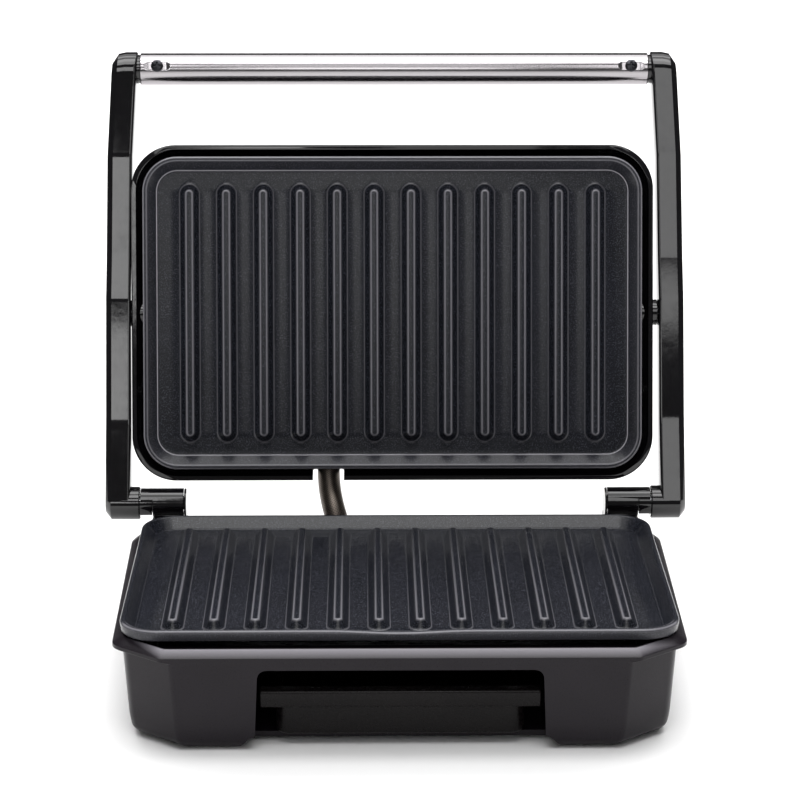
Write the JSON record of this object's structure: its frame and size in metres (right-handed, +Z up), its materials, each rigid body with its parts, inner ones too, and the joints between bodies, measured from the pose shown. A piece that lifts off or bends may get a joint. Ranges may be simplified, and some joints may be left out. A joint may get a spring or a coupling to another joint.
{
  "type": "panini press",
  "caption": "Hinged contact grill with ribbed upper and lower plates, a floating upper platen between side arms, a tubular steel handle and a pull-out drip tray.",
  "frame": {"origin": "middle of the footprint box at table level, lid open", "axes": "+X to the press's own left-to-right width seen from the front, -Y to the front where the tray pulls out, +Z up"},
  "size_m": [0.2676, 0.2508, 0.2472],
  "materials": {
    "base_black": "satin black moulding",
    "gloss_black": "gloss black moulding",
    "tray_black": "satin black moulding",
    "plate_coat": "cast aluminium under a speckled non-stick coat",
    "handle_steel": "brushed stainless tube",
    "screw_black": "black oxide",
    "screw_zinc": "bright zinc plate",
    "pin_steel": "turned steel",
    "braid_steel": "flexible braided steel",
    "foot_rubber": "moulded rubber",
    "element_sheath": "oxidised steel sheath",
    "reflector_sheet": "bright rolled sheet",
    "ceramic_body": "fired steatite",
    "phenolic_brown": "phenolic moulding",
    "lens_red": "clear red lens",
    "lens_green": "clear green lens"
  },
  "bodies": {
    "base": {"base_casing": "base_black", "bottom_cover": "base_black", "hinge_barrel_left": "gloss_black", "hinge_barrel_right": "gloss_black", "barrel_cap_left": "gloss_black", "barrel_cap_right": "gloss_black", "lower_grill_plate": "plate_coat", "cover_screw_front_left": "screw_zinc", "cover_screw_front_right": "screw_zinc", "cover_screw_rear_left": "screw_zinc", "cover_screw_rear_right": "screw_zinc", "lower_plate_stud_left": "screw_zinc", "lower_plate_stud_right": "screw_zinc", "steel_conduit": "braid_steel", "foot_front_left": "foot_rubber", "foot_front_right": "foot_rubber", "foot_rear_left": "foot_rubber", "foot_rear_right": "foot_rubber", "cord_gland": "foot_rubber", "conduit_grommet": "foot_rubber", "lower_heating_element": "element_sheath", "lower_reflector": "reflector_sheet", "lower_thermostat": "ceramic_body", "thermal_fuse": "ceramic_body", "terminal_block": "phenolic_brown"},
    "lid_arms": {"arm_left": "gloss_black", "arm_right": "gloss_black", "handle_tube": "handle_steel", "handle_screw_left": "screw_black", "handle_screw_right": "screw_black", "hinge_pin_left": "pin_steel", "hinge_pin_right": "pin_steel", "pivot_pin_left": "pin_steel", "pivot_pin_right": "pin_steel"},
    "platen": {"lid_housing": "gloss_black", "pivot_bush_left": "gloss_black", "pivot_bush_right": "gloss_black", "upper_grill_plate": "plate_coat", "upper_plate_stud_left": "screw_zinc", "upper_plate_stud_right": "screw_zinc", "upper_heating_element": "element_sheath", "upper_reflector": "reflector_sheet", "upper_thermostat": "ceramic_body", "power_lamp": "lens_red", "ready_lamp": "lens_green"},
    "tray": {"drip_tray": "tray_black"}
  },
  "joints": [
    {"name": "lid_hinge", "type": "hinge", "parent": "base", "child": "lid_arms", "pos_m": [0, 0.04356, 0.049], "axis": [1, 0, 0], "range_deg": [0, 101.4], "deforming": ["steel_conduit"]},
    {"name": "platen_pivot", "type": "hinge", "parent": "lid_arms", "child": "platen", "pos_m": [0, 0.07546, 0.13132], "axis": [1, 0, 0], "range_deg": [0, 3]},
    {"name": "tray_slide", "type": "slide", "parent": "base", "child": "tray", "axis": [0, -1, 0], "range_m": [0, 0.1]}
  ],
  "couplings": [
    {"joint": "platen_pivot", "follows": "lid_hinge", "ratio": 0.029586}
  ]
}
